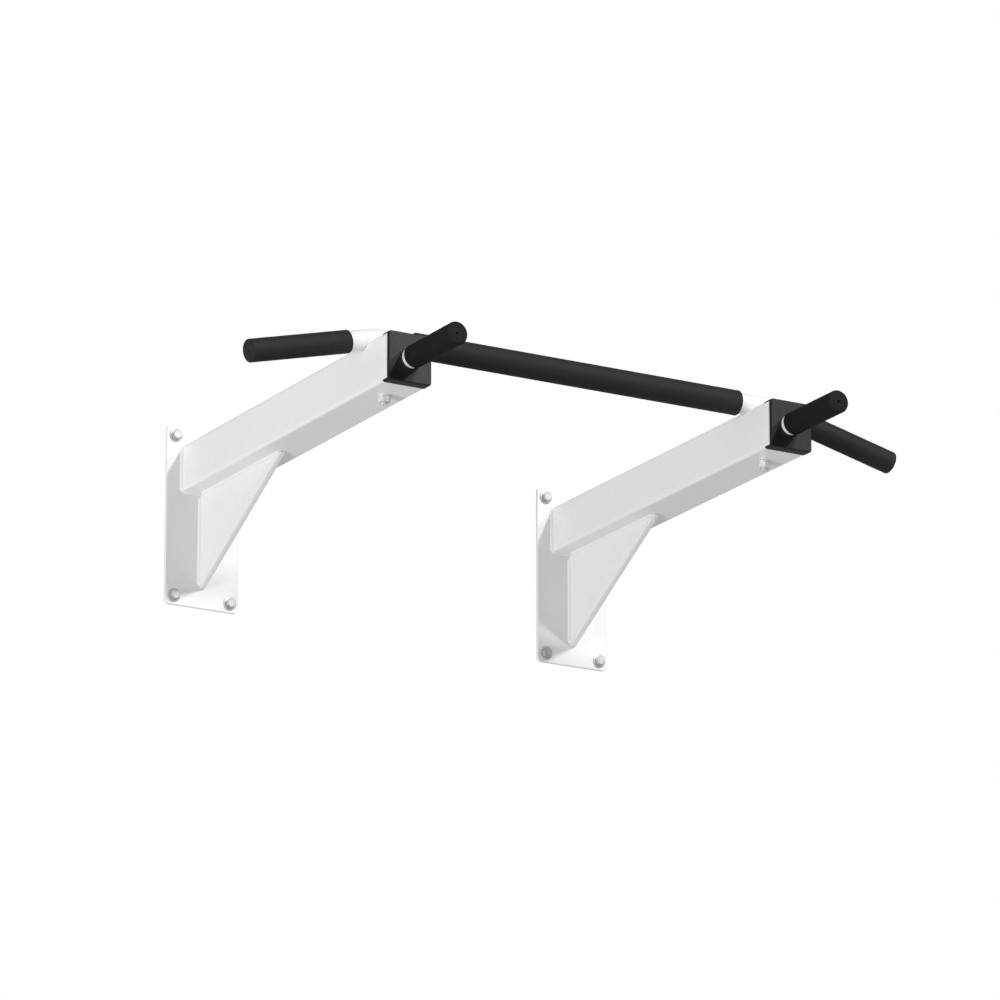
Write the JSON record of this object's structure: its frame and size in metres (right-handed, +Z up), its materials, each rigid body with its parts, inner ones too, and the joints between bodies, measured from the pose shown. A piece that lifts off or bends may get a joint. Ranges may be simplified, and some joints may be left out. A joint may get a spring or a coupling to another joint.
{
  "type": "pull up bar",
  "caption": "Wall-mounted pull-up bar: two gusseted box-section arms carry a bent cross bar with foam grips and a straight handle at each front end.",
  "frame": {"origin": "on the wall's surface, midway between the two wall plates and at half their height", "axes": "+X along the cross bar to the right of a person facing the wall, +Y into the wall, +Z up"},
  "size_m": [1.069, 0.8125, 0.274],
  "materials": {
    "white_paint": "satin white powder coat on steel",
    "black_foam": "fine-grained matt black foam rubber",
    "black_plastic": "satin moulded black plastic",
    "zinc_plate": "bright zinc plate"
  },
  "bodies": {
    "root": {"cross_bar_tube": "white_paint", "left_arm_tube": "white_paint", "left_bar_nut": "zinc_plate", "left_bar_stud": "zinc_plate", "left_bar_washer": "zinc_plate", "left_end_cap": "black_plastic", "left_gusset": "white_paint", "left_handle_grip": "black_foam", "left_handle_plate": "white_paint", "left_handle_tube": "white_paint", "left_outer_grip": "black_foam", "left_wall_bolt_1": "zinc_plate", "left_wall_bolt_2": "zinc_plate", "left_wall_bolt_3": "zinc_plate", "left_wall_bolt_4": "zinc_plate", "left_wall_plate": "white_paint", "left_wall_washer_1": "zinc_plate", "left_wall_washer_2": "zinc_plate", "left_wall_washer_3": "zinc_plate", "left_wall_washer_4": "zinc_plate", "main_grip": "black_foam", "right_arm_tube": "white_paint", "right_bar_nut": "zinc_plate", "right_bar_stud": "zinc_plate", "right_bar_washer": "zinc_plate", "right_end_cap": "black_plastic", "right_gusset": "white_paint", "right_handle_grip": "black_foam", "right_handle_plate": "white_paint", "right_handle_tube": "white_paint", "right_outer_grip": "black_foam", "right_wall_bolt_1": "zinc_plate", "right_wall_bolt_2": "zinc_plate", "right_wall_bolt_3": "zinc_plate", "right_wall_bolt_4": "zinc_plate", "right_wall_plate": "white_paint", "right_wall_washer_1": "zinc_plate", "right_wall_washer_2": "zinc_plate", "right_wall_washer_3": "zinc_plate", "right_wall_washer_4": "zinc_plate"}
  },
  "joints": []
}
